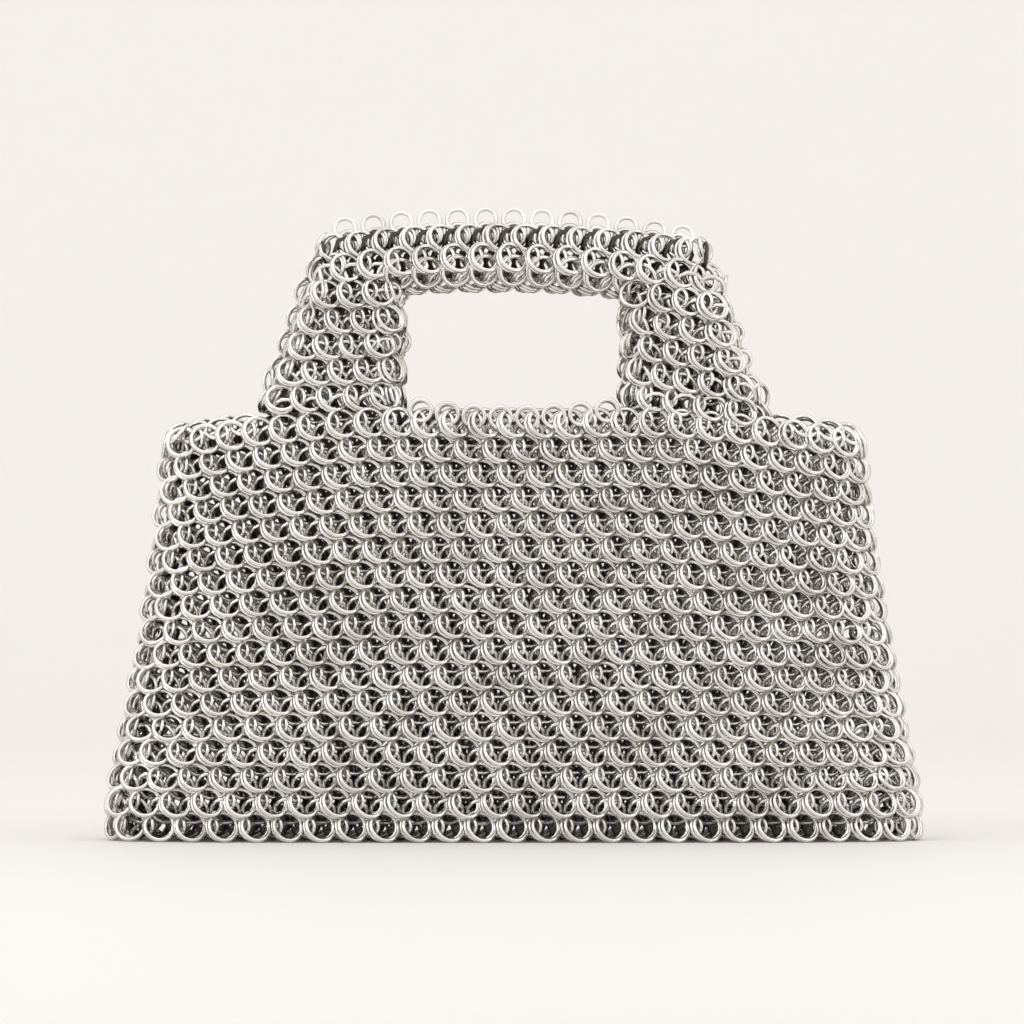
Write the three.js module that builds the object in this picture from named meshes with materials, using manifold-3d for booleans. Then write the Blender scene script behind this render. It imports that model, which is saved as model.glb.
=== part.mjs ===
// A ring-mail purse with a cut-out handle, standing upright on its base.
// The mail cloth is a front sheet and a back sheet, each with its half of the handle, that meet along the
// sides and round the hand hole. A base sheet closes the bottom, and the top is open under the hand hole
// and on both shoulders. Single links stand in the edges: one row joins the front and the back along the
// ridge of the handle, and one row finishes each lip of the mouth.
// Frame: +X to the right, +Y to the back, +Z up, origin under the middle of the base, millimetres.
import * as THREE from "three";
import { mergeVertices } from "three/addons/utils/BufferGeometryUtils.js";
import Module from "manifold-3d";

const wasm = await Module();
wasm.setup();

// The edge links
const edgeLinkOuter = 9.4; // outside diameter of a link
const wire = 1.6; // diameter of its wire
const linkExposure = 4.3; // how much of an edge link stands above the cloth
const ridgePitch = 10.3; // spacing of the links along the ridge of the handle
const ridgeLinks = 13;
const lipPitch = 9.7; // spacing of the links along each lip of the mouth
const lipLinks = 8;

// The cloth
const cloth = 7; // thickness of the linked mail
const courseRise = 9.24; // height of one course of links
const courseRelief = 2.2; // how far the lower rims of a course stand out
const rimShare = 0.2; // share of a course's height that its lower rims take
const hemRise = 10; // lower rims of the first whole course above the floor
const seamGap = 0.3; // gap between pieces that lie against each other

// The body
const baseWidth = 300;
const baseDepth = 78;
const shoulderWidth = 259;
const mouthDepth = 50;
const shoulderHeight = 150.5; // cloth edge on the shoulders
const lipRise = 4; // cloth edge under the hand hole above the shoulders
const lipSag = 4; // how far that edge dips between the arms
const sideDroop = 7.5; // how far the courses drop towards the sides, at the shoulders
const hemTuck = 5; // how far the bottom edge turns in under the body

// The handle
const holeWidth = 82;
const holeHeight = 43;
const holeCorner = 9;
const gripHeight = 25.5; // cloth from the hand hole up to the ridge
const gripDepth = 24;
const ridgeWidth = 7.6;
const ridgeArch = 6.4; // rise of the ridge from its ends to its middle
const ridgeLean = 1.6; // how much lower the right end sits, and how much higher the left one
const handleTopWidth = 143;
const handleRootWidth = 189;
const rootFillet = 18;

// Resolution of the faceted solids
const bodySides = 40;
const armSides = 20;
const gripStations = 12;
const linkSides = 12;
const wireSides = 5;

// Heights and radii that follow from those sizes
const lipHeight = shoulderHeight + lipRise;
const holeTop = lipHeight + linkExposure + holeHeight;
const ridgeHeight = holeTop + gripHeight;
const ridgeEndHeight = ridgeHeight - ridgeArch;
const channelDepth = edgeLinkOuter - linkExposure + 2 * seamGap;
const channelWidth = wire + 2 * seamGap;
const overrun = 1; // how far a cutting solid runs past the face it opens

// Half the length of a row of edge links, with room at its ends.
const rowHalf = (count, pitch) =>
  ((count - 1) * pitch + edgeLinkOuter) / 2 + seamGap;

// Half sections of the body from the floor up, as shares of its named sizes: rise is a share of
// shoulderHeight, flare runs from shoulderWidth (0) to baseWidth (1), depth from mouthDepth (0) to
// baseDepth (1), and square is the exponent of the section, from 2 for an ellipse up.
const bodyShape = [
  { rise: 0.0, flare: 1.0, depth: 0.97, square: 3.8 },
  { rise: 0.1, flare: 1.0, depth: 1.0, square: 3.8 },
  { rise: 0.23, flare: 0.81, depth: 0.96, square: 3.2 },
  { rise: 0.34, flare: 0.66, depth: 0.88, square: 2.8 },
  { rise: 0.56, flare: 0.38, depth: 0.68, square: 2.5 },
  { rise: 0.78, flare: 0.15, depth: 0.4, square: 2.5 },
  { rise: 1.0, flare: 0.0, depth: 0.0, square: 2.5 },
];

// The front half of the grip's section, from the ridge down to its underside: depth is a share of half
// of gripDepth and rise a share of gripHeight.
const gripShape = [
  { depth: 0.58, rise: 0.92 },
  { depth: 0.92, rise: 0.58 },
  { depth: 0.78, rise: 0.51 },
  { depth: 1.0, rise: 0.29 },
  { depth: 0.85, rise: 0.22 },
  { depth: 0.62, rise: 0.05 },
  { depth: 0.3, rise: 0.0 },
];

const { lerp, clamp, smoothstep } = THREE.MathUtils;

// A horizontal section: a superellipse about (x, 0) at height z.
class SuperEllipse extends THREE.Curve {
  constructor(x, z, halfWidth, halfDepth, square) {
    super();
    Object.assign(this, { x, z, halfWidth, halfDepth, square });
  }
  getPoint(share, target = new THREE.Vector3()) {
    const c = Math.cos(2 * Math.PI * share);
    const s = Math.sin(2 * Math.PI * share);
    const n = this.square;
    const reach = (Math.abs(c) ** n + Math.abs(s) ** n) ** (-1 / n);
    return target.set(
      this.x + this.halfWidth * reach * c,
      this.halfDepth * reach * s,
      this.z,
    );
  }
  ring(sides) {
    return this.getSpacedPoints(sides).slice(0, sides);
  }
}

// A closed solid skinned through rings of points, with fan caps on its two ends.
function loft(rings) {
  const sides = rings[0].length;
  const points = rings.flat();
  const index = [];
  for (let k = 0; k + 1 < rings.length; k++)
    for (let i = 0; i < sides; i++) {
      const a = k * sides + i;
      const b = k * sides + ((i + 1) % sides);
      index.push(a, b, b + sides, a, b + sides, a + sides);
    }
  [0, rings.length - 1].forEach((k) => {
    const centre = rings[k]
      .reduce((sum, p) => sum.add(p), new THREE.Vector3())
      .divideScalar(sides);
    points.push(centre);
    for (let i = 0; i < sides; i++) {
      const a = k * sides + i;
      const b = k * sides + ((i + 1) % sides);
      index.push(points.length - 1, ...(k === 0 ? [b, a] : [a, b]));
    }
  });
  return solid(new THREE.BufferGeometry().setFromPoints(points).setIndex(index));
}

// The manifold solid of a closed geometry, turned so that its faces point out.
function solid(geometry) {
  const bare = new THREE.BufferGeometry()
    .setAttribute("position", geometry.getAttribute("position"))
    .setIndex(geometry.index);
  const merged = mergeVertices(bare, 1e-4);
  const make = (triVerts) =>
    new wasm.Manifold(
      new wasm.Mesh({
        numProp: 3,
        vertProperties: merged.attributes.position.array,
        triVerts,
      }),
    );
  const triVerts = new Uint32Array(merged.index.array);
  const made = make(triVerts);
  return made.volume() < 0 ? make(triVerts.reverse()) : made;
}

function box(x0, x1, y0, y1, z0, z1) {
  const shape = new THREE.BoxGeometry(x1 - x0, y1 - y0, z1 - z0);
  return solid(
    shape.translate((x0 + x1) / 2, (y0 + y1) / 2, (z0 + z1) / 2),
  );
}

function geometryOf(made) {
  const mesh = made.getMesh();
  return new THREE.BufferGeometry()
    .setAttribute(
      "position",
      new THREE.BufferAttribute(new Float32Array(mesh.vertProperties), 3),
    )
    .setIndex(new THREE.BufferAttribute(mesh.triVerts, 1));
}

// The body's section at height z, drawn in by inset from its outermost rims.
function bodySection(z, inset) {
  const rise = clamp(z / shoulderHeight, 0, 1);
  const k = Math.max(
    1,
    bodyShape.findIndex((row) => row.rise >= rise),
  );
  const [low, high] = [bodyShape[k - 1], bodyShape[k]];
  const share = (rise - low.rise) / (high.rise - low.rise);
  const flare = lerp(low.flare, high.flare, share);
  const depth = lerp(low.depth, high.depth, share);
  return new SuperEllipse(
    0,
    z,
    lerp(shoulderWidth, baseWidth, flare) / 2 - inset,
    lerp(mouthDepth, baseDepth, depth) / 2 - inset,
    lerp(low.square, high.square, share),
  );
}

// Height of the cloth's top edge at x: it dips between the arms and is lower on the shoulders.
function edgeHeight(x) {
  const half = holeWidth / 2;
  const past = smoothstep(Math.abs(x), half, handleRootWidth / 2 + rootFillet);
  const dip = lipSag * Math.min(1, (x / half) ** 2);
  return lerp(lipHeight + dip, shoulderHeight, past);
}

// A body ring whose courses drop towards the sides.
function drooped(section) {
  const droop = sideDroop * (section.z / shoulderHeight);
  return section.ring(bodySides).map((p) => {
    p.z -= droop * Math.abs(p.x / section.halfWidth) ** 3;
    return p;
  });
}

// A ring of the body whose points stand on the top edge of the cloth, moved by rise.
function edgeRing(inset, rise) {
  return bodySection(shoulderHeight, inset)
    .ring(bodySides)
    .map((p) => {
      p.z = edgeHeight(p.x) + rise;
      return p;
    });
}

// Heights of the lower rims of the courses between two heights.
function courseRims(from, to) {
  const count = Math.max(0, Math.floor((to - from) / courseRise) + 1);
  return Array.from({ length: count }, (_, k) => from + k * courseRise);
}

function bodyOuter() {
  const topCourse = shoulderHeight - sideDroop / 2;
  const rings = [drooped(bodySection(0, hemTuck))];
  rings.push(drooped(bodySection(hemRise * rimShare, courseRelief)));
  for (const rim of courseRims(hemRise, topCourse)) {
    rings.push(drooped(bodySection(rim - courseRise * rimShare, courseRelief)));
    rings.push(drooped(bodySection(rim, 0)));
  }
  rings.push(edgeRing(0, 0));
  return loft(rings);
}

function bodyInner() {
  const rings = bodyShape
    .filter((row) => row.rise < 1)
    .map((row) => {
      const section = bodySection(row.rise * shoulderHeight, cloth);
      if (row.rise === 0) section.z = -overrun;
      return section.ring(bodySides);
    });
  rings.push(edgeRing(cloth, 0));
  rings.push(edgeRing(cloth, overrun));
  return loft(rings);
}

// Half of the handle's depth at height z, from the mouth up to the grip.
function armHalfDepth(z) {
  const share = clamp((z - shoulderHeight) / (holeTop - shoulderHeight), 0, 1);
  return lerp(mouthDepth, gripDepth + 2 * courseRelief, share ** 0.85) / 2;
}

// Outer edge of an arm at height z, with the fillet that runs out onto the shoulder.
function armOuterEdge(z) {
  const share = (z - shoulderHeight) / (ridgeEndHeight - shoulderHeight);
  const edge = lerp(handleRootWidth, handleTopWidth, clamp(share, 0, 1)) / 2;
  const short = clamp(rootFillet - (z - shoulderHeight), 0, rootFillet);
  return edge + rootFillet - Math.sqrt(rootFillet ** 2 - short ** 2);
}

// Inner edge of an arm at height z, with the rounded corners of the hand hole.
function armInnerEdge(z) {
  const above = Math.max(0, z - (holeTop - holeCorner));
  const short = Math.min(above, holeCorner);
  return holeWidth / 2 - holeCorner + Math.sqrt(holeCorner ** 2 - short ** 2);
}

// How much the handle's right end sits lower, and its left end higher, at x and height z.
function lean(x, z) {
  const grown = smoothstep(z, shoulderHeight, holeTop);
  return -ridgeLean * grown * clamp(x / (handleTopWidth / 2), -1, 1);
}

// A ring of one arm at height z, drawn in by inset.
function armRing(side, z, inset) {
  const outer = armOuterEdge(z) - inset;
  const inner = armInnerEdge(z) + inset;
  const section = new SuperEllipse(
    (side * (outer + inner)) / 2,
    z,
    (outer - inner) / 2,
    armHalfDepth(z) - inset,
    2.6,
  );
  return section.ring(armSides).map((p) => {
    p.z += lean(p.x, z);
    return p;
  });
}

function armOuter(side) {
  const rings = [armRing(side, shoulderHeight - courseRise / 2, courseRelief)];
  const top = ridgeEndHeight - courseRise / 2;
  const firstRim = hemRise + courseRise * Math.ceil((shoulderHeight - hemRise) / courseRise);
  for (const rim of courseRims(firstRim, top)) {
    rings.push(armRing(side, rim - courseRise * rimShare, courseRelief));
    rings.push(armRing(side, rim, 0));
  }
  rings.push(armRing(side, ridgeEndHeight - wire, cloth / 2));
  return loft(rings);
}

function armInner(side) {
  const low = shoulderHeight - courseRise;
  const high = holeTop + gripHeight / 4;
  const rings = [0, 0.25, 0.5, 0.75, 1].map((share) =>
    armRing(side, lerp(low, high, share), cloth),
  );
  return loft(rings);
}

// Height of the ridge at x.
function ridgeAt(x) {
  const share = x / (handleTopWidth / 2);
  return ridgeHeight - ridgeArch * share ** 2 + lean(x, ridgeHeight);
}

// A ring of the grip's section at x, drawn in by inset.
function gripRing(x, inset) {
  const height = gripHeight - 2 * inset;
  const half = gripDepth / 2 - inset;
  const top = ridgeAt(x) - inset;
  const front = gripShape.map((row) => [-half * row.depth, row.rise]);
  const ridgeHalf = Math.max(wire, ridgeWidth / 2 - inset);
  front.unshift([-ridgeHalf, 1]);
  const back = front.map(([y, rise]) => [-y, rise]).reverse();
  return [...front, ...back].map(
    ([y, rise]) => new THREE.Vector3(x, y, top - height * (1 - rise)),
  );
}

function grip(inset) {
  const half = handleTopWidth / 2 - cloth / 2 - inset;
  const rings = Array.from({ length: gripStations + 1 }, (_, k) =>
    gripRing(lerp(-half, half, k / gripStations), inset),
  );
  return loft(rings);
}

// The channel in the ridge that the lower part of its links stands in.
function ridgeChannel() {
  const half = rowHalf(ridgeLinks, ridgePitch);
  const width = channelWidth / 2;
  const rings = Array.from({ length: gripStations + 1 }, (_, k) => {
    const x = lerp(-half, half, k / gripStations);
    const z = ridgeAt(x);
    return [
      new THREE.Vector3(x, -width, z - channelDepth),
      new THREE.Vector3(x, width, z - channelDepth),
      new THREE.Vector3(x, width, z + edgeLinkOuter),
      new THREE.Vector3(x, -width, z + edgeLinkOuter),
    ];
  });
  return loft(rings);
}

// The channels in the two lips, along the middle of the cloth.
function lipChannels() {
  const middle = cloth / 2;
  const outer = middle - channelWidth / 2;
  const inner = middle + channelWidth / 2;
  const whole = loft([edgeRing(outer, -channelDepth), edgeRing(outer, overrun)]).subtract(
    loft([edgeRing(inner, -channelDepth - overrun), edgeRing(inner, 2 * overrun)]),
  );
  const half = rowHalf(lipLinks, lipPitch);
  return whole.intersect(box(-half, half, -baseDepth, baseDepth, 0, ridgeHeight));
}

function sheets() {
  const outer = bodyOuter()
    .add(armOuter(-1))
    .add(armOuter(1))
    .add(grip(0));
  const inner = bodyInner()
    .add(armInner(-1))
    .add(armInner(1))
    .add(grip(cloth));
  const shell = outer
    .subtract(inner)
    .subtract(lipChannels())
    .subtract(ridgeChannel());
  const far = baseWidth;
  const half = (y0, y1) => shell.intersect(box(-far, far, y0, y1, -far, 2 * far));
  return { front: half(-far, -seamGap / 2), back: half(seamGap / 2, far) };
}

function baseSheet() {
  const ring = (z, inset) => {
    const section = bodySection(z, cloth + seamGap + inset);
    return section.ring(bodySides);
  };
  return loft([ring(0, 0), ring(cloth - courseRelief / 2, 0), ring(cloth, courseRelief)]);
}

// Places a row of links along an edge; at gives the height of the edge and the depth of the row at x.
function placeLinks(name, count, pitch, at) {
  for (let k = 0; k < count; k++) {
    const x = (k - (count - 1) / 2) * pitch;
    const { y, z } = at(x);
    const radius = (edgeLinkOuter - wire) / 2;
    const link = new THREE.TorusGeometry(radius, wire / 2, wireSides, linkSides)
      .rotateX(Math.PI / 2)
      .translate(x, y, z + linkExposure - edgeLinkOuter / 2);
    place(`${name}_${k + 1}`, link);
  }
}

// Depth of the middle of the cloth at x on a lip.
function lipDepth(x) {
  const section = bodySection(shoulderHeight, cloth / 2);
  const share = (Math.abs(x) / section.halfWidth) ** section.square;
  return section.halfDepth * (1 - share) ** (1 / section.square);
}

const aluminium = new THREE.MeshStandardMaterial({
  color: 0xd6d3cd,
  metalness: 1,
  roughness: 0.24,
});

const purse = new THREE.Group();

function place(name, geometry) {
  const bare = new THREE.BufferGeometry()
    .setAttribute("position", geometry.getAttribute("position"))
    .setIndex(geometry.index);
  const merged = mergeVertices(bare, 1e-4);
  merged.computeVertexNormals();
  const mesh = new THREE.Mesh(merged, aluminium.clone());
  mesh.name = name;
  purse.add(mesh);
  return mesh;
}

const { front, back } = sheets();
place("front_sheet", geometryOf(front));
place("back_sheet", geometryOf(back));
place("base_sheet", geometryOf(baseSheet()));
placeLinks("ridge_link", ridgeLinks, ridgePitch, (x) => ({ y: 0, z: ridgeAt(x) }));
placeLinks("front_lip_link", lipLinks, lipPitch, (x) => ({
  y: -lipDepth(x),
  z: edgeHeight(x),
}));
placeLinks("back_lip_link", lipLinks, lipPitch, (x) => ({
  y: lipDepth(x),
  z: edgeHeight(x),
}));
export default purse;
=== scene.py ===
"""A ring-mail purse with a cut-out handle, standing on a pale floor.

Every link of the mail is a torus of its own. Scale links lie in courses like fish scales, each leaning out
at the bottom and turned a little so that its left side lies over its neighbour. Each has a twin close
behind it. Smaller side links join the scales along a course, connecting links behind them join one course
to the next, and dark links deeper inside close the mail. Their dark colour is painted shade, for the
shade inside the purse seen through the gaps.
"""

import math
from collections import namedtuple

import bpy
import numpy as np
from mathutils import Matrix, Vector


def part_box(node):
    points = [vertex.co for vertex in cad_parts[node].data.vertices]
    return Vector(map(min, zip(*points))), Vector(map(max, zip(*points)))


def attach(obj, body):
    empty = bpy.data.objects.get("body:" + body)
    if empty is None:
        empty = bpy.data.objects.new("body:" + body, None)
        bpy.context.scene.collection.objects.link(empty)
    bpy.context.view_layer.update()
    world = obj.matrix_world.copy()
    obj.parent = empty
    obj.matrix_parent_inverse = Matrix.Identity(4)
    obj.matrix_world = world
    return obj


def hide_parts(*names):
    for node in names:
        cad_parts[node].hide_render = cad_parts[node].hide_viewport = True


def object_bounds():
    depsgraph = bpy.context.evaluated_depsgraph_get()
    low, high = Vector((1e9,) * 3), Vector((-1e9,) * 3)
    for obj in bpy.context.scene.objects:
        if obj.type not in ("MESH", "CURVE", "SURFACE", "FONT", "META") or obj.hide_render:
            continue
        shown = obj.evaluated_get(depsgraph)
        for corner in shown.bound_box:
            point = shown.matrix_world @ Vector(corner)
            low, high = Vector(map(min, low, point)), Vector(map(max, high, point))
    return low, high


bl_info = {
    "name": "Ring-mail purse",
    "version": (1, 0, 0),
    "blender": (4, 5, 0),
    "location": "View3D > Sidebar > Purse",
    "description": "Builds a metal mesh purse from separate links, with its finish and stage",
    "category": "Add Mesh",
}

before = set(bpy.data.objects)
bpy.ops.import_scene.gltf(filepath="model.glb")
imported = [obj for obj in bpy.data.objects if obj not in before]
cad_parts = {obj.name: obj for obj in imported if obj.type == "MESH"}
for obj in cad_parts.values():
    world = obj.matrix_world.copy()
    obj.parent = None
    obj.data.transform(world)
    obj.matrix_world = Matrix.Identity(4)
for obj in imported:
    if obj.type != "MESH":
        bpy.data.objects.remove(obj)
CAD_LOW, CAD_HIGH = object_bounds()
MM = 0.001


# How the body changes from its base to its shoulders, as on the solids. rise, flare and depth are shares of
# the named sizes, and square is the exponent that squares off the corners of a section.
BODY_SHAPE = {
    "rise": (0.0, 0.1, 0.23, 0.34, 0.56, 0.78, 1.0),
    "flare": (1.0, 1.0, 0.81, 0.66, 0.38, 0.15, 0.0),
    "depth": (0.97, 1.0, 0.96, 0.88, 0.68, 0.4, 0.0),
    "square": (3.8, 3.8, 3.2, 2.8, 2.5, 2.5, 2.5),
}


class PurseSize(bpy.types.PropertyGroup):
    """Sizes of the purse: the base width is read from the solids, and the others are the same as theirs."""

    base_width: bpy.props.FloatProperty(
        name="Base width",
        description="Width of the body at its base",
        default=CAD_HIGH.x - CAD_LOW.x,
        unit="LENGTH",
    )
    base_depth: bpy.props.FloatProperty(
        name="Base depth",
        description="Depth of the body at its base",
        default=0.078,
        unit="LENGTH",
    )
    shoulder_width: bpy.props.FloatProperty(
        name="Shoulder width",
        description="Width of the body at its shoulders",
        default=0.259,
        unit="LENGTH",
    )
    mouth_depth: bpy.props.FloatProperty(
        name="Mouth depth",
        description="Depth of the body at its mouth",
        default=0.050,
        unit="LENGTH",
    )
    shoulder_height: bpy.props.FloatProperty(
        name="Shoulder height",
        description="Height of the mail on the shoulders",
        default=0.1505,
        unit="LENGTH",
    )
    hole_width: bpy.props.FloatProperty(
        name="Hand hole width",
        description="Width of the hole under the grip",
        default=0.082,
        unit="LENGTH",
    )
    grip_depth: bpy.props.FloatProperty(
        name="Grip depth",
        description="Depth of the grip from front to back",
        default=0.024,
        unit="LENGTH",
    )
    handle_top_width: bpy.props.FloatProperty(
        name="Handle top width",
        description="Width of the handle at its top",
        default=0.143,
        unit="LENGTH",
    )
    handle_root_width: bpy.props.FloatProperty(
        name="Handle root width",
        description="Width of the handle over the shoulders",
        default=0.189,
        unit="LENGTH",
    )
    root_fillet: bpy.props.FloatProperty(
        name="Root fillet",
        description="Radius where the handle runs out onto the shoulders",
        default=0.018,
        unit="LENGTH",
    )


class MailWeave(bpy.types.PropertyGroup):
    """Sizes and angles of the links in the mail."""

    link_outer: bpy.props.FloatProperty(
        name="Link diameter",
        description="Outside diameter of a scale link",
        default=0.0124,
        unit="LENGTH",
    )
    wire: bpy.props.FloatProperty(
        name="Wire",
        description="Diameter of the wire of the scale links",
        default=0.00165,
        unit="LENGTH",
    )
    edge_wire: bpy.props.FloatProperty(
        name="Edge wire",
        description="Diameter of the wire of the links that finish the edges",
        default=0.0016,
        unit="LENGTH",
    )
    edge_outer: bpy.props.FloatProperty(
        name="Edge link diameter",
        description="Outside diameter of the links that finish the edges",
        default=0.0094,
        unit="LENGTH",
    )
    course: bpy.props.FloatProperty(
        name="Course",
        description="Height of one course of large links",
        default=0.00924,
        unit="LENGTH",
    )
    pitch_low: bpy.props.FloatProperty(
        name="Pitch at the base",
        description="Spacing of the large links along the bottom course",
        default=0.0117,
        unit="LENGTH",
    )
    pitch_high: bpy.props.FloatProperty(
        name="Pitch at the shoulders",
        description="Spacing of the large links along the top course of the body",
        default=0.0104,
        unit="LENGTH",
    )
    lean: bpy.props.FloatProperty(
        name="Lean",
        description="How far the scale links lean out at the bottom",
        default=math.radians(24),
        subtype="ANGLE",
    )
    side_lean: bpy.props.FloatProperty(
        name="Lean at the sides",
        description="How far the scale links lean where the purse turns to its narrow sides",
        default=math.radians(16),
        subtype="ANGLE",
    )
    turn: bpy.props.FloatProperty(
        name="Turn",
        description="How far the scale links turn their left side out",
        default=math.radians(26),
        subtype="ANGLE",
    )
    play: bpy.props.FloatProperty(
        name="Play",
        description="How far hand-closed links sit from their exact place",
        default=0.00012,
        unit="LENGTH",
    )


class PurseFinish(bpy.types.PropertyGroup):
    """Colours of the metal and of the stage, as sRGB hex values."""

    link_colour: bpy.props.StringProperty(
        name="Links",
        description="Colour of the polished wire",
        default="#E9E7E3",
    )
    film_colour: bpy.props.StringProperty(
        name="Film",
        description="Colour of the thin grey film that handling leaves",
        default="#B4B0A9",
    )
    # Painted shade: the links behind the scales are drawn darker than the polished links, for the shade they
    # lie in.
    behind_shade_colour: bpy.props.StringProperty(
        name="Links behind",
        description="Colour of the links behind the scales",
        default="#B9B5AE",
    )
    # Painted shade: this dark colour of the inner links stands for the shade inside the purse, seen through
    # the gaps between the links.
    inner_shade_colour: bpy.props.StringProperty(
        name="Inner links",
        description="Colour of the oxidised links on the inside",
        default="#57534D",
    )
    floor_colour: bpy.props.StringProperty(
        name="Floor",
        description="Colour of the floor",
        default="#F2EFEC",
    )


def size(name):
    """A size of the purse in millimetres."""
    return getattr(bpy.context.scene.purse_size, name) / MM


def weave(name):
    """A length of the weave in millimetres."""
    return getattr(bpy.context.scene.mail_weave, name) / MM


def clamp(value, low=0.0, high=1.0):
    return max(low, min(high, value))


def smooth(value, low, high):
    share = clamp((value - low) / (high - low))
    return share * share * (3 - 2 * share)


def lerp(a, b, share):
    return a + (b - a) * share


class Loop:
    """A closed horizontal section, walked from the middle of its front to the right."""

    STEPS = 1440

    def __init__(self, x, half_width, half_depth, square):
        angle = np.linspace(0, 2 * math.pi, self.STEPS + 1)
        c, s = np.sin(angle), -np.cos(angle)
        reach = (np.abs(c) ** square + np.abs(s) ** square) ** (-1 / square)
        self.points = np.stack([x + half_width * reach * c, half_depth * reach * s], axis=1)
        steps = np.linalg.norm(np.diff(self.points, axis=0), axis=1)
        self.walk = np.concatenate([[0], np.cumsum(steps)])
        self.length = self.walk[-1]

    def at(self, distance):
        distance = distance % self.length
        return np.array([np.interp(distance, self.walk, self.points[:, k]) for k in (0, 1)])

    def front(self, x):
        """Distance to the point of the front at this x, negative to the left of the middle."""
        out = x - self.points[0, 0]
        quarter = len(self.walk) // 4 + 1
        walk = np.interp(abs(out), self.points[:quarter, 0] - self.points[0, 0], self.walk[:quarter])
        return math.copysign(walk, out)


class Sheet:
    """A sheet of mail wrapped round the purse, as loops that change with the height.

    section(z) gives the loop at a height, rise(x, course) the height of a course, and pitch(course) the
    spacing of its links. upright is how far the courses stand up straight on a surface that leans.
    slim tells a sheet whose front and back lie close together.
    """

    # What the links behind a slim sheet keep clear of the middle, and the room inside any other.
    MIDDLE_CLEARANCE = 1.5
    AMPLE_ROOM = 100.0
    # The pitches before each side that take up what is left over, and how late along them they do.
    SPARE_PITCHES = 6.0
    SPARE_POWER = 1.6
    # Shares of a pitch and of a course over which the directions of the weave are measured.
    STEP_ALONG = 0.02
    STEP_UP = 0.25

    def __init__(self, section, rise, pitch, upright=0.0, slim=False):
        self.section = section
        self.slim = slim
        self.rise = rise
        self.pitch = pitch
        self.upright = upright

    def room(self, centre):
        """How far a link can sit behind this place without passing the middle of the purse."""
        return abs(centre[1]) - self.MIDDLE_CLEARANCE if self.slim else self.AMPLE_ROOM

    def quarter(self, course):
        """Pitches from the middle of the front to the side, to the nearest half."""
        loop = self.section(self.rise(0, course))
        return round(loop.length / 4 / self.pitch(course) * 2) / 2

    def walked(self, course, index, loop):
        """Distance along the loop of the link with this index, counted from the middle of the front.

        The links keep their pitch on the front and the back, and the last few before each side take up
        what is left over.
        """
        quarter = self.quarter(course)
        half = loop.length / 2
        side = index % (2 * quarter)
        turns = (index - side) / (2 * quarter)
        from_front = min(side, 2 * quarter - side)
        pitch = self.pitch(course)
        spare = half / 2 - quarter * pitch
        blend = min(quarter, self.SPARE_PITCHES)
        late = clamp((from_front - (quarter - blend)) / blend)
        distance = from_front * pitch + spare * late**self.SPARE_POWER
        if side > quarter:
            distance = half - distance
        return turns * half + distance

    def place(self, course, index):
        """Centre and axes of the weave there: along the course, into the purse, and up."""
        point = self.point(course, index)
        along = self.point(course, index + self.STEP_ALONG) - self.point(course, index - self.STEP_ALONG)
        # A link tilts half as much as its course does.
        along[2] *= 0.5
        along /= np.linalg.norm(along)
        up = self.point(course + self.STEP_UP, index) - self.point(course - self.STEP_UP, index)
        up /= np.linalg.norm(up)
        up = lerp(up, np.array([0.0, 0.0, 1.0]), self.upright)
        up -= along * up.dot(along)
        up /= np.linalg.norm(up)
        return point, along, np.cross(up, along), up

    def point(self, course, index):
        loop = self.section(self.rise(0, course))
        x, y = loop.at(self.walked(math.floor(course + 0.5), index, loop))
        return np.array([x, y, self.rise(x, course)])

    def courses(self, first, last):
        """Each link's course and index, a half pitch apart from course to course."""
        for course in range(first, last + 1):
            shift = (course % 2) / 2
            for k in range(round(4 * self.quarter(course))):
                yield course, k + shift


class PlacedSheet(Sheet):
    """A sheet whose links stand at given places on the front, and are spread evenly round the sides.

    places(course) lists the distances of the links on the front from the purse's middle.
    """

    # Pitches between two placed links above which more links go in between, except on the front.
    WIDE_GAP = 1.6

    def __init__(self, section, rise, pitch, upright, places):
        super().__init__(section, rise, pitch, upright, True)
        self.places = places
        self.stops = {}

    def shares(self, course):
        """Where the links of a course stand, as shares of the way round it."""
        if course not in self.stops:
            loop = self.section(self.rise(0, course))
            front = sorted(loop.front(x) for x in self.places(course))
            ends = front + [loop.length / 2 - way for way in reversed(front)] + [front[0] + loop.length]
            stops = []
            for number, (here, there) in enumerate(zip(ends, ends[1:])):
                pitches = (there - here) / self.pitch(course)
                on_front = number < len(front) - 1
                steps = 1 if on_front or pitches < self.WIDE_GAP else round(pitches)
                stops += [here + (there - here) * k / steps for k in range(steps)]
            self.stops[course] = np.array(stops) / loop.length
        return self.stops[course]

    def walked(self, course, index, loop):
        shares = self.shares(course)
        turns, place = divmod(index, len(shares))
        ahead = np.append(shares, shares[0] + 1)
        return (turns + np.interp(place, np.arange(len(ahead)), ahead)) * loop.length

    def courses(self, first, last):
        for course in range(first, last + 1):
            for k in range(len(self.shares(course))):
                yield course, k


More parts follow.
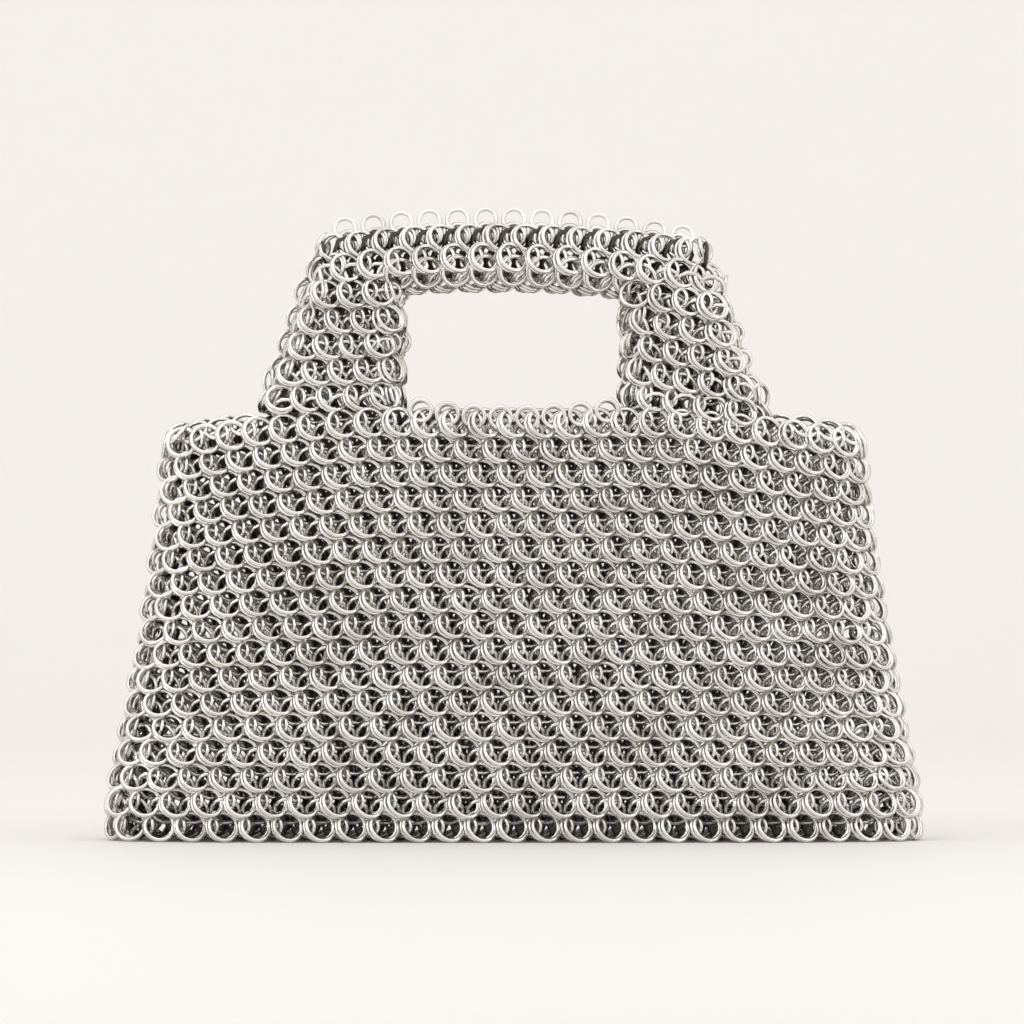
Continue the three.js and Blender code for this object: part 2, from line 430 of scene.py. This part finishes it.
class Links:
    """A growing list of links: centre, two axes across, radius to the middle of the wire, and half wire."""

    # How far hand-closed links are tipped from their exact angle, in radians.
    WOBBLE = 0.012

    def __init__(self, seed):
        self.rows = []
        self.random = np.random.default_rng(seed)

    def add(self, centre, along, inward, up, lean, turn, outer, wire, play=None):
        """Adds a link in the weave's axes: lean tips its top inward, turn brings its left side out.

        A link that would reach below the floor is lifted onto it.
        """
        normal = (
            math.sin(turn) * math.cos(lean) * along
            - math.cos(turn) * math.cos(lean) * inward
            + math.sin(lean) * up
        )
        across = math.cos(turn) * along + math.sin(turn) * inward
        play = weave("play") if play is None else play
        centre = centre + self.random.normal(0, play, 3)
        normal = normal + self.random.normal(0, self.WOBBLE, 3)
        normal /= np.linalg.norm(normal)
        across -= normal * across.dot(normal)
        across /= np.linalg.norm(across)
        lowest = centre[2] - (outer - wire) / 2 * math.sqrt(1 - normal[2] ** 2) - wire / 2
        centre[2] += max(0.0, -lowest)
        self.rows.append((centre, across, np.cross(normal, across), (outer - wire) / 2, wire / 2))

    def mesh(self, name, sides, wire_sides):
        """One mesh with a torus for each link, in metres."""
        columns = [np.array(column) for column in zip(*self.rows)]
        centre, across, upward = (column[:, None, None, :] for column in columns[:3])
        radius, half_wire = (column[:, None, None, None] for column in columns[3:])
        round_link = np.linspace(0, 2 * math.pi, sides, endpoint=False)[None, :, None, None]
        round_wire = np.linspace(0, 2 * math.pi, wire_sides, endpoint=False)[None, None, :, None]
        axis = np.cross(across, upward)
        outward = np.cos(round_link) * across + np.sin(round_link) * upward
        reach = radius + half_wire * np.cos(round_wire)
        points = centre + reach * outward + half_wire * np.sin(round_wire) * axis
        points = points.reshape(-1, 3) * MM
        grid = np.arange(len(self.rows) * sides * wire_sides).reshape(-1, sides, wire_sides)
        ahead = np.roll(grid, -1, axis=1)
        corners = [grid, ahead, np.roll(ahead, -1, axis=2), np.roll(grid, -1, axis=2)]
        faces = np.stack(corners, axis=-1).reshape(-1, 4)
        mesh = bpy.data.meshes.new(name)
        mesh.vertices.add(len(points))
        mesh.vertices.foreach_set("co", points.ravel())
        mesh.loops.add(faces.size)
        mesh.loops.foreach_set("vertex_index", faces.ravel())
        mesh.polygons.add(len(faces))
        mesh.polygons.foreach_set("loop_start", np.arange(0, faces.size, 4))
        mesh.update(calc_edges=True)
        mesh.shade_smooth()
        mesh.validate()
        return mesh


# The first and the last course of the body and of the arms, and the courses of the grip.
BODY_COURSES = (0, 16)
ARM_COURSES = (17, 21)
GRIP_COURSES = (22, 23)

# Heights of the courses of the handle on the left arm, in the middle and on the right arm.
HANDLE_COURSES = {
    "course": (16, 17, 18, 19, 20, 21, 22, 23, 24),
    "left": (153.0, 161.9, 171.8, 181.0, 190.3, 199.8, 209.2, 217.0, 224.0),
    "middle": (153.4, 163.0, 173.0, 183.0, 193.0, 203.5, 212.8, 220.2, 227.5),
    "right": (151.0, 159.8, 168.9, 178.2, 187.6, 197.2, 206.8, 215.6, 222.6),
}
# How far the middle of an arm stands from the middle of the purse.
ARM_MIDDLE = 62.0

# Heights of the top of the hand hole, where the handle is narrowest, and over the grip's links.
HOLE_TOP = 202.0
HANDLE_TOP = 222.0
GRIP_TOP = 228.0

# Depth of the grip from the top of the hand hole to its own top, as shares of its full depth.
GRIP_SHAPE = {"rise": (0.0, 0.3, 0.5, 0.72, 1.0), "depth": (1.0, 1.0, 0.92, 0.52, 0.42)}

# How far the middles of the scale links lie inside the outermost rims.
WEAVE_INSET = 3.6

# Where the scale links of each course of the arms stand on the front, from the middle of the purse.
ARM_LINKS = {
    -1: {
        17: (-93.5, -84.7, -75.2, -65.8, -56.0, -46.9),
        18: (-80.5, -71.2, -61.8, -52.3, -43.8),
        19: (-76.3, -67.2, -57.8, -48.3),
        20: (-72.6, -63.0, -53.6, -45.2),
        21: (-67.8, -58.7, -49.2),
    },
    1: {
        17: (51.1, 60.3, 71.6, 83.0, 93.0),
        18: (47.0, 56.1, 64.2, 73.3, 82.6),
        19: (51.5, 60.6, 69.7, 79.1),
        20: (48.3, 57.0, 66.6, 76.1),
        21: (54.9, 63.7, 73.1),
    },
}


def body_section(z, inset):
    """The body's loop at a height, drawn in from its outermost rims."""
    rise = clamp(z / size("shoulder_height"))
    flare, depth, square = (
        float(np.interp(rise, BODY_SHAPE["rise"], BODY_SHAPE[key])) for key in ("flare", "depth", "square")
    )
    half_width = lerp(size("shoulder_width"), size("base_width"), flare) / 2 - inset
    half_depth = lerp(size("mouth_depth"), size("base_depth"), depth) / 2 - inset
    return Loop(0, half_width, half_depth, square)


def body_rise(x, course):
    """Height of a course of the body: the courses sag to the sides, and a little between the arms."""
    first_course, side_sag, middle_sag, lift = 5.35, 10.0, 1.6, 0.6
    level = first_course + course * weave("course")
    high = clamp(level / size("shoulder_height")) ** 2
    out = abs(x) / (size("shoulder_width") / 2)
    droop = side_sag * min(out, 1.05) ** 2.4
    between = middle_sag * high * high * (1 - smooth(abs(x), 8, 60))
    return level - droop * high - between + lift * high


def body_pitch(course):
    share = clamp(course / BODY_COURSES[1])
    return lerp(weave("pitch_low"), weave("pitch_high"), share**1.15)


def arm_outer(z):
    """Half width of the handle's outline at a height."""
    base = size("shoulder_height")
    share = clamp((z - base) / (HANDLE_TOP - base))
    edge = lerp(size("handle_root_width"), size("handle_top_width"), share) / 2
    fillet = size("root_fillet")
    short = clamp(fillet - (z - base), 0, fillet)
    return edge + fillet - math.sqrt(fillet**2 - short**2)


def arm_section(side, z, inset):
    """The loop of one arm at a height: as deep as the mouth at its root, and as the grip at its top."""
    past_hole, square = 1.6, 6.0
    root_depth, top_depth = 0.9 * size("mouth_depth"), size("grip_depth") + 4.4
    base = size("shoulder_height")
    outer = arm_outer(z) - inset
    inner = size("hole_width") / 2 + inset - past_hole
    share = clamp((z - base) / (HOLE_TOP - base)) ** 0.85
    half_depth = lerp(root_depth, top_depth, share) / 2 - inset
    return Loop(side * (outer + inner) / 2, (outer - inner) / 2, half_depth, square)


def handle_rise(x, course):
    """Height of a course of the handle, by its heights on the arms and on the grip."""
    left, middle, right = (
        float(np.interp(course, HANDLE_COURSES["course"], HANDLE_COURSES[key]))
        for key in ("left", "middle", "right")
    )
    share = x / ARM_MIDDLE
    bend = (left + right) / 2 - middle
    return middle + bend * share**2 + (right - left) / 2 * share


def arm_rise(side):
    """The rise of the courses of one arm: nearly level on the left arm, and falling outward on the right."""
    key, slope = ("left", 0.03) if side < 0 else ("right", -0.16)

    def rise(x, course):
        level = float(np.interp(course, HANDLE_COURSES["course"], HANDLE_COURSES[key]))
        return level + (slope * (x - side * ARM_MIDDLE) if x else 0.0)

    return rise


def grip_section(z, inset):
    """The loop round the whole handle at a height above the hand hole."""
    share = clamp((z - HOLE_TOP) / (GRIP_TOP - HOLE_TOP))
    depth = float(np.interp(share, GRIP_SHAPE["rise"], GRIP_SHAPE["depth"]))
    past_grip, least_half_depth, square = 1.5, 1.2, 5.0
    half_depth = (size("grip_depth") / 2 + past_grip) * depth - inset
    return Loop(0, arm_outer(z) - inset, max(half_depth, least_half_depth), square)


# The links behind a scale link. offset is along, inward and up from it, or from halfway to the next scale
# link. Lengths are in millimetres and angles in degrees.
Kind = namedtuple("Kind", "offset halfway lean turn outer wire")
TWIN = Kind((-0.8, 0.9, -0.2), halfway=False, lean=18, turn=16, outer=12.4, wire=1.55)
SIDE_LINK = Kind((0.9, 1.6, 0.3), halfway=True, lean=6, turn=-35, outer=8.3, wire=1.5)
CONNECTOR = Kind((0.0, 4.2, 5.9), halfway=False, lean=-28, turn=0, outer=12.0, wire=1.7)
TOP_LINK = Kind((0.0, 2.2, 1.2), halfway=True, lean=16, turn=-10, outer=10.4, wire=1.6)
INNER_LINK = Kind((0.0, 7.6, 1.0), halfway=True, lean=-8, turn=12, outer=12.2, wire=1.8)

# Where the room behind a link is less than this, a link closes the gap at the top of a slim sheet.
TIGHT_ROOM = 4.0
# How far the inner links hang lower where no connecting link holds them.
INNER_DROP = 2.5
# The share of a bend to the right that is taken off the links' turn, and the least turn in radians.
BEND_SHARE = 0.75
LEAST_TURN = -0.25


def weave_sheet(sheet, first, last, keep, layers, held_above=None):
    """Adds the links of a sheet to its layers of scales, twins, links behind and inner links.

    Only the places for which keep is true have links. On the last course only the scales for which
    held_above is true have a connecting link.
    """
    scales, twins, behind, inner = layers
    scene = bpy.context.scene.mail_weave
    outer, wire = weave("link_outer"), weave("wire")
    for course, index in sheet.courses(first, last):
        own = centre, along, inward, up = sheet.place(course, index)
        if not keep(centre):
            continue
        sideways = smooth(abs(inward[0]), 0.25, 0.95)
        ease = lerp(scene.lean, scene.side_lean, sideways) / scene.lean
        # Where the sheet bends away to the right, the links don't turn any further with it.
        bend = math.atan2(along[1], along[0]) if along[0] > 0 else math.atan2(-along[1], -along[0])
        back = clamp(BEND_SHARE * bend, 0.0, scene.turn - LEAST_TURN)
        scales.add(centre, along, inward, up, scene.lean * ease, scene.turn - back, outer, wire)

        held_here = course < last or (held_above and held_above(centre))
        hung = [(twins, TWIN, ease, 0.0), (behind, SIDE_LINK, 1.0, 0.0)]
        if held_here:
            hung.append((behind, CONNECTOR, ease, 0.0))
        if sheet.room(centre) < TIGHT_ROOM:
            hung.append((behind, TOP_LINK, ease, 0.0))
        # Dark inner links close the mail; their dark colour is painted shade for the inside of the purse.
        if sideways < 0.5 or not sheet.slim:
            hung.append((inner, INNER_LINK, 1.0, 0.0 if held_here else INNER_DROP))
        between = sheet.place(course, index + 0.5)
        for links, kind, lean_share, drop in hung:
            point, along, inward, up = between if kind.halfway else own
            right, deep, raised = kind.offset
            if course == 0:
                raised = max(raised, 0.0)
            deep = min(deep, sheet.room(point))
            held = point + right * along + deep * inward + (raised - drop) * up
            lean = math.radians(kind.lean) * lean_share
            turn = math.radians(kind.turn) - back
            links.add(held, along, inward, up, lean, turn, kind.outer, kind.wire)


def linear(hex_colour):
    """An sRGB hex colour as a linear RGBA tuple."""
    values = [int(hex_colour.lstrip("#")[k : k + 2], 16) / 255 for k in (0, 2, 4)]
    return (*[v / 12.92 if v <= 0.04045 else ((v + 0.055) / 1.055) ** 2.4 for v in values], 1.0)


def add_node(tree, kind, settings=(), **inputs):
    """Adds a node with its settings. An input that is a socket is linked, and any other is a value."""
    node = tree.nodes.new(kind)
    for name, value in dict(settings).items():
        setattr(node, name, value)
    for name, value in inputs.items():
        socket = node.inputs[int(name[1:])] if name[0] == "i" and name[1:].isdigit() else node.inputs[name]
        if isinstance(value, bpy.types.NodeSocket):
            tree.links.new(value, socket)
        else:
            socket.default_value = value
    return node


def new_material(name):
    material = bpy.data.materials.new(name)
    material.use_nodes = True
    material.node_tree.nodes.clear()
    return material, material.node_tree


def aluminium_wire(name, colour, film, dull, bright):
    """Aluminium wire, drawn, wound and cut into links, then tumbled with steel shot.

    The tumbling gives the eye a bright mirror with faint soft dimples, and handling leaves a thin
    grey film that takes the edge off the shine here and there. The links inside are given rougher wire
    and a darker colour; the darker colour is painted shade, for the shade that falls inside the mail.
    dull and bright are the roughness with and without the film.
    """
    material = bpy.data.materials.get(name)
    if material:
        return material
    material, tree = new_material(name)
    place = add_node(tree, "ShaderNodeTexCoord").outputs["Object"]
    # Film comes in patches about 14 mm across.
    patches = add_node(tree, "ShaderNodeTexNoise", Vector=place, Scale=70.0, Detail=3.0).outputs["Fac"]
    patch = add_node(tree, "ShaderNodeMapRange", Value=patches, i1=0.42, i2=0.72, i3=0.0, i4=0.6)
    mixed = add_node(
        tree,
        "ShaderNodeMix",
        {"data_type": "RGBA"},
        i0=patch.outputs["Result"],
        i6=linear(colour),
        i7=linear(film),
    )
    gloss = add_node(tree, "ShaderNodeMapRange", Value=patches, i1=0.3, i2=0.75, i3=bright, i4=dull)
    # Dimples of the shot, about 0.5 mm, drawn at 0.8 mm so that they show.
    dimple = add_node(tree, "ShaderNodeTexNoise", Vector=place, Scale=1250.0, Detail=2.0).outputs["Fac"]
    bump = add_node(tree, "ShaderNodeBump", Height=dimple, Strength=0.12, Distance=0.0002)
    shader = add_node(
        tree,
        "ShaderNodeBsdfPrincipled",
        Metallic=1.0,
        Roughness=gloss.outputs["Result"],
        Normal=bump.outputs["Normal"],
    )
    tree.links.new(mixed.outputs[2], shader.inputs["Base Color"])
    add_node(tree, "ShaderNodeOutputMaterial", Surface=shader.outputs["BSDF"])
    return material


def polished_wire():
    finish = bpy.context.scene.purse_finish
    return aluminium_wire(
        "polished_aluminium_wire", finish.link_colour, finish.film_colour, dull=0.17, bright=0.09
    )


# Rougher wire for links behind; its darker colour is painted shade, for the shade behind the scales.
def shade_dulled_wire():
    finish = bpy.context.scene.purse_finish
    return aluminium_wire(
        "shade_dulled_aluminium_wire", finish.behind_shade_colour, finish.film_colour, dull=0.38, bright=0.24
    )


# Painted shade: dark, rough wire for the inner links, standing for the shade inside the purse.
def shaded_wire():
    colour = bpy.context.scene.purse_finish.inner_shade_colour
    return aluminium_wire("inner_shade_aluminium_wire", colour, colour, dull=0.6, bright=0.45)


def show(name, links, sides, wire_sides, nodes, material):
    """Makes a piece of joined links that rides on the purse and stands for the named solids.

    sides is the number of points round a link, and wire_sides the number round its wire.
    """
    piece = bpy.data.objects.new(name, links.mesh(name, sides, wire_sides))
    bpy.context.collection.objects.link(piece)
    piece.data.materials.append(material)
    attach(piece, "root")
    if nodes:
        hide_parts(*nodes)
    return piece


def solids(prefix):
    """Names of the solids that start so."""
    return sorted(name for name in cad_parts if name.startswith(prefix))


def body_sheet():
    return Sheet(lambda z: body_section(z, WEAVE_INSET), body_rise, body_pitch)


def arm_sheet(side):
    return PlacedSheet(
        section=lambda z: arm_section(side, z, WEAVE_INSET),
        rise=arm_rise(side),
        pitch=lambda course: 9.5,
        upright=0.5,
        places=ARM_LINKS[side].get,
    )


def grip_sheet():
    return Sheet(
        section=lambda z: grip_section(z, WEAVE_INSET),
        rise=handle_rise,
        pitch=lambda course: 10.3,
        upright=0.9,
        slim=True,
    )


# The layers of a weave in their order: name, points round a link and round its wire, and finish.
LAYERS = (
    ("scales", 20, 6, polished_wire),
    ("twins", 16, 5, polished_wire),
    ("connectors", 14, 5, polished_wire),
    # The inner links' dark finish is painted shade, for the shade inside the purse.
    ("inner_shade_links", 8, 3, shaded_wire),
)


def new_layers(seed):
    return [Links(seed + k) for k in range(len(LAYERS))]


def show_layers(name, layers, nodes):
    """Shows the layers of a weave as pieces. The scales stand for the named solids."""
    for (layer, sides, wire_sides, finish), links in zip(LAYERS, layers):
        replaced = nodes if layer == "scales" else []
        show(f"{name}_{layer}", links, sides, wire_sides, replaced, finish())


def weave_wall(name, side, seed):
    """The body's links on its front (-1) or back (1), as four pieces named after it."""

    def keep(centre):
        return centre[1] < 0 if side < 0 else centre[1] >= 0

    def under_arm(centre):
        return size("hole_width") / 2 + 3 < abs(centre[0]) < arm_outer(centre[2] + 12) - 5

    layers = new_layers(seed)
    weave_sheet(body_sheet(), *BODY_COURSES, keep, layers, under_arm)
    show_layers(name, layers, [name + "_sheet"])


class PURSE_OT_front(bpy.types.Operator):
    """Weave the front of the body"""

    bl_idname = "purse.front"
    bl_label = "Front of the body"

    def execute(self, context):
        weave_wall("front", -1, seed=11)
        return {"FINISHED"}


class PURSE_OT_back(bpy.types.Operator):
    """Weave the back of the body"""

    bl_idname = "purse.back"
    bl_label = "Back of the body"

    def execute(self, context):
        weave_wall("back", 1, seed=21)
        return {"FINISHED"}


class PURSE_OT_handle(bpy.types.Operator):
    """Weave the arms and the grip of the handle"""

    bl_idname = "purse.handle"
    bl_label = "Handle"

    # The courses under the grip: distance from the middle, how far they hang below its first course, how
    # far they face down in degrees, and the pitches that they are shifted by.
    UNDERSIDE = ((7.6, 4.8, 40, 0.0), (2.6, 8.0, 72, 0.5))
    UNDERSIDE_PITCH = 10.5

    def execute(self, context):
        def everywhere(centre):
            return True

        layers = new_layers(31)
        for side in (-1, 1):
            weave_sheet(arm_sheet(side), *ARM_COURSES, everywhere, layers, everywhere)
        for course in GRIP_COURSES:
            weave_sheet(grip_sheet(), course, course, everywhere, layers)
        connectors = layers[2]
        self.underside(connectors)
        show_layers("handle", layers, [])
        return {"FINISHED"}

    def underside(self, links):
        """Two courses on each side of the grip that curl under it, facing down into the hand hole."""
        scene = bpy.context.scene.mail_weave
        outer, wire = weave("link_outer"), weave("wire")
        right, deep, raised = TWIN.offset
        for side in (-1, 1):
            along = np.array([-1.0 * side, 0.0, 0.0])
            for depth, drop, tip, shift in self.UNDERSIDE:
                tip = math.radians(tip)
                inward = np.array([0.0, -side * math.cos(tip), math.sin(tip)])
                up = np.array([0.0, side * math.sin(tip), math.cos(tip)])
                for k in range(-4, 5):
                    x = (k + shift) * self.UNDERSIDE_PITCH
                    if abs(x) > size("hole_width") / 2 + 1:
                        continue
                    centre = np.array([x, side * depth, handle_rise(x, GRIP_COURSES[0]) - drop])
                    links.add(centre, along, inward, up, scene.lean, scene.turn, outer, wire)
                    twin = centre + right * along + deep * inward + raised * up
                    links.add(twin, along, inward, up, scene.lean, scene.turn, outer, wire)


class PURSE_OT_base(bpy.types.Operator):
    """Weave the flat base"""

    bl_idname = "purse.base"
    bl_label = "Base"

    # Height of the base's scale links, and how far its links stay inside the outline at the sides and at
    # the front and back.
    HEIGHT = 4.4
    SIDE_MARGIN = 13
    FRONT_MARGIN = 12

    def execute(self, context):
        scales, behind = Links(41), Links(42)
        scene = bpy.context.scene.mail_weave
        outer, wire = weave("link_outer"), weave("wire")
        along = np.array([1.0, 0.0, 0.0])
        inward = np.array([0.0, 0.0, 1.0])
        up = np.array([0.0, -1.0, 0.0])
        pitch, course = weave("pitch_low"), weave("course")
        half_width = size("base_width") / 2 - self.SIDE_MARGIN
        half_depth = size("base_depth") / 2 - self.FRONT_MARGIN
        square = BODY_SHAPE["square"][0]
        rows = int(half_depth // course)
        for row in range(-rows, rows + 1):
            for k in range(-13, 14):
                x = (k + (row % 2) / 2) * pitch
                y = -row * course
                if (abs(x) / half_width) ** square + (abs(y) / half_depth) ** square > 1:
                    continue
                centre = np.array([x, y, self.HEIGHT])
                scales.add(centre, along, inward, up, scene.lean, scene.turn, outer, wire, play=0.0)
                held = centre + np.array([0.0, -5.9, 4.4])
                behind.add(held, along, inward, up, math.radians(-20), 0.0, outer, wire, play=0.0)
        show("base_scales", scales, 14, 5, ["base_sheet"], polished_wire())
        # The base's links behind are drawn darker, as painted shade.
        show("base_connectors", behind, 10, 3, [], shade_dulled_wire())
        return {"FINISHED"}


class PURSE_OT_edges(bpy.types.Operator):
    """Set the links that finish the ridge, the lips and the shoulders"""

    bl_idname = "purse.edges"
    bl_label = "Edge links"

    RIDGE_LEAN = math.radians(18)
    SHOULDER_LEAN = math.radians(42)
    SHOULDER_OUTER = 11.4

    def execute(self, context):
        links = Links(51)
        outer, wire = weave("edge_outer"), weave("edge_wire")
        names = solids("ridge_link") + solids("front_lip_link") + solids("back_lip_link")
        along, inward, up = np.eye(3)
        for name in names:
            low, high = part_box(name)
            centre = np.array((low + high) / 2) / MM
            lean = self.RIDGE_LEAN if name.startswith("ridge") else 0.0
            links.add(centre, along, inward, up, lean, 0.0, outer, wire, play=0.0)
        # Large links finish the shoulders, where no arm stands on the last course of the body.
        sheet = body_sheet()
        last = BODY_COURSES[1]
        for course, index in sheet.courses(last, last):
            centre, along, inward, up = sheet.place(course, index)
            if abs(centre[0]) < arm_outer(centre[2] + 9) - 1:
                continue
            held = centre + 3.4 * up + 4.0 * along + 3.0 * inward
            links.add(held, along, inward, up, self.SHOULDER_LEAN, 0.0, self.SHOULDER_OUTER, wire)
        show("edge_links", links, 24, 8, names, polished_wire())
        return {"FINISHED"}


class PURSE_OT_stage(bpy.types.Operator):
    """Set the floor, the lights and the camera"""

    bl_idname = "purse.stage"
    bl_label = "Stage"

    def execute(self, context):
        self.floor()
        self.lights(context)
        self.camera(context)
        return {"FINISHED"}

    def floor(self):
        material, tree = new_material("painted_studio_floor")
        grain = add_node(tree, "ShaderNodeTexNoise", Scale=60.0, Detail=2.0).outputs["Fac"]
        rough = add_node(tree, "ShaderNodeMapRange", Value=grain, i3=0.55, i4=0.7).outputs["Result"]
        shader = add_node(tree, "ShaderNodeBsdfPrincipled", Roughness=rough)
        shader.inputs["Base Color"].default_value = linear(bpy.context.scene.purse_finish.floor_colour)
        add_node(tree, "ShaderNodeOutputMaterial", Surface=shader.outputs["BSDF"])
        # A flat floor that sweeps up on a quarter circle to a wall behind the purse, in metres.
        reach, radius, wall = 4.0, 1.2, 2.4
        bend = [math.radians(k * 5) for k in range(19)]
        sweep = [(radius + radius * math.sin(t), radius - radius * math.cos(t)) for t in bend]
        profile = [(-reach, 0.0), *sweep, (wall, reach)]
        points = [(x, y, z) for y, z in profile for x in (-reach, reach)]
        faces = [(2 * k, 2 * k + 1, 2 * k + 3, 2 * k + 2) for k in range(len(profile) - 1)]
        mesh = bpy.data.meshes.new("floor")
        mesh.from_pydata(points, [], faces)
        mesh.shade_smooth()
        mesh.materials.append(material)
        floor = bpy.data.objects.new("floor", mesh)
        bpy.context.collection.objects.link(floor)

    def lights(self, context):
        context.scene.view_settings.view_transform = "Standard"
        world = bpy.data.worlds.new("studio")
        context.scene.world = world
        world.use_nodes = True
        tree = world.node_tree
        tree.nodes.clear()
        # The room is white. What the metal mirrors of it is dimmer low down, where dark flags stand.
        way = add_node(tree, "ShaderNodeTexCoord").outputs["Generated"]
        height = add_node(tree, "ShaderNodeSeparateXYZ", Vector=way).outputs["Z"]
        mirrored = add_node(tree, "ShaderNodeMapRange", Value=height, i1=-0.4, i2=0.5, i3=0.1, i4=1.3)
        path = add_node(tree, "ShaderNodeLightPath")
        strength = add_node(
            tree,
            "ShaderNodeMix",
            {"data_type": "FLOAT"},
            i0=path.outputs["Is Glossy Ray"],
            i2=1.02,
            i3=mirrored.outputs["Result"],
        )
        back = add_node(
            tree, "ShaderNodeBackground", Color=linear("#FCFBFB"), Strength=strength.outputs[0]
        )
        add_node(tree, "ShaderNodeOutputWorld", Surface=back.outputs["Background"])
        # Soft panels: name, place, width and height in metres, and power in watts.
        target = Vector((0, 0, 0.1))
        for name, spot, width, height, power in (
            ("front_panel", (-0.6, -2.4, 2.0), 1.7, 1.2, 2.4),
            ("top_panel", (0.0, -0.4, 1.4), 1.2, 0.6, 0.9),
            ("left_panel", (-1.3, -1.0, 0.6), 0.5, 1.0, 3.0),
            ("right_panel", (1.4, -0.9, 0.5), 0.4, 0.9, 1.8),
        ):
            light = bpy.data.lights.new(name, "AREA")
            light.shape = "RECTANGLE"
            light.size = width
            light.size_y = height
            light.energy = power
            lamp = bpy.data.objects.new(name, light)
            context.collection.objects.link(lamp)
            lamp.location = spot
            lamp.rotation_mode = "QUATERNION"
            lamp.rotation_quaternion = (target - Vector(spot)).to_track_quat("-Z", "Y")

    def camera(self, context):
        """Looks level at the front from far off, so that the picture is view_width wide at the purse."""
        distance, view_width, aside, height = 3.2, 0.375, -0.0007, 0.1198
        camera = bpy.data.cameras.new("camera")
        camera.sensor_width = 36.0
        camera.lens = camera.sensor_width * distance / view_width
        camera.clip_start = 0.05
        eye = bpy.data.objects.new("camera", camera)
        context.collection.objects.link(eye)
        eye.location = (aside, -distance, height)
        eye.rotation_euler = (math.pi / 2, 0.0, 0.0)
        context.scene.camera = eye


class PURSE_PT_panel(bpy.types.Panel):
    """Sizes, colours and pieces of the purse"""

    bl_idname = "PURSE_PT_panel"
    bl_label = "Ring-mail purse"
    bl_space_type = "VIEW_3D"
    bl_region_type = "UI"
    bl_category = "Purse"

    def draw(self, context):
        for group in GROUPS:
            values = getattr(context.scene, group)
            box = self.layout.box()
            for name in values.__annotations__:
                box.prop(values, name)
        for operator in OPERATORS:
            self.layout.operator(operator.bl_idname)


GROUPS = {"purse_size": PurseSize, "mail_weave": MailWeave, "purse_finish": PurseFinish}
OPERATORS = (
    PURSE_OT_front,
    PURSE_OT_back,
    PURSE_OT_handle,
    PURSE_OT_base,
    PURSE_OT_edges,
    PURSE_OT_stage,
)


def register():
    for kind in (*GROUPS.values(), *OPERATORS, PURSE_PT_panel):
        bpy.utils.register_class(kind)
    for name, group in GROUPS.items():
        setattr(bpy.types.Scene, name, bpy.props.PointerProperty(type=group))


def unregister():
    for name in GROUPS:
        delattr(bpy.types.Scene, name)
    for kind in reversed((*GROUPS.values(), *OPERATORS, PURSE_PT_panel)):
        bpy.utils.unregister_class(kind)


def main():
    register()
    bpy.ops.purse.front()
    bpy.ops.purse.back()
    bpy.ops.purse.handle()
    bpy.ops.purse.base()
    bpy.ops.purse.edges()
    bpy.ops.purse.stage()


if __name__ == "__main__":
    main()
